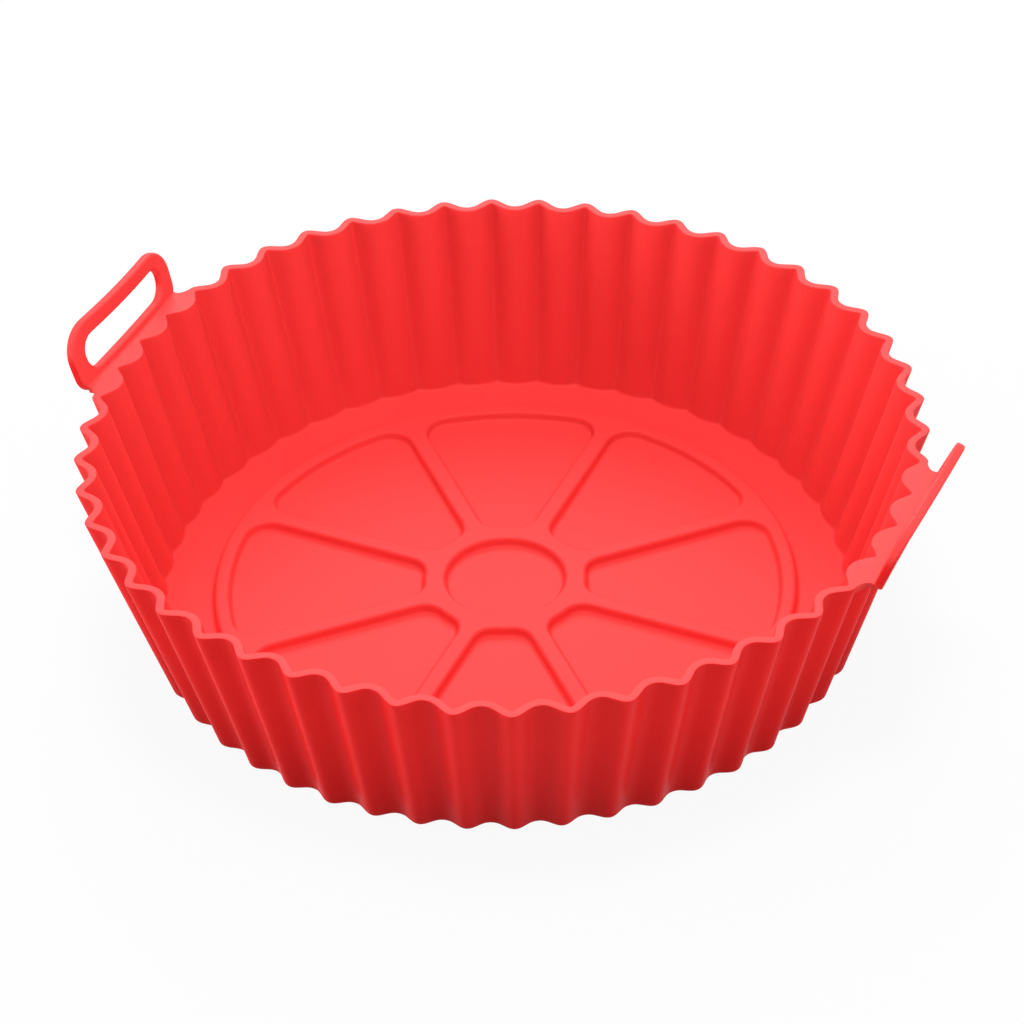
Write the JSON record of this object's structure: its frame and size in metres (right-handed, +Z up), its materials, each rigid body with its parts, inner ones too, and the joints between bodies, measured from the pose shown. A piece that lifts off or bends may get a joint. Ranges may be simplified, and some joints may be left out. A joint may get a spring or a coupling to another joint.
{
  "type": "air fryer liner",
  "caption": "One-piece round silicone liner with a fluted flaring wall, a floor with a wheel of raised ribs and two lifting loops at the rim.",
  "frame": {"origin": "middle of the flat underside", "axes": "+Z up out of the open bowl, +X through the middle of the right lifting loop"},
  "size_m": [0.214, 0.1996, 0.0616],
  "materials": {
    "silicone": "satin"
  },
  "bodies": {
    "root": {"liner": "silicone"}
  },
  "joints": []
}
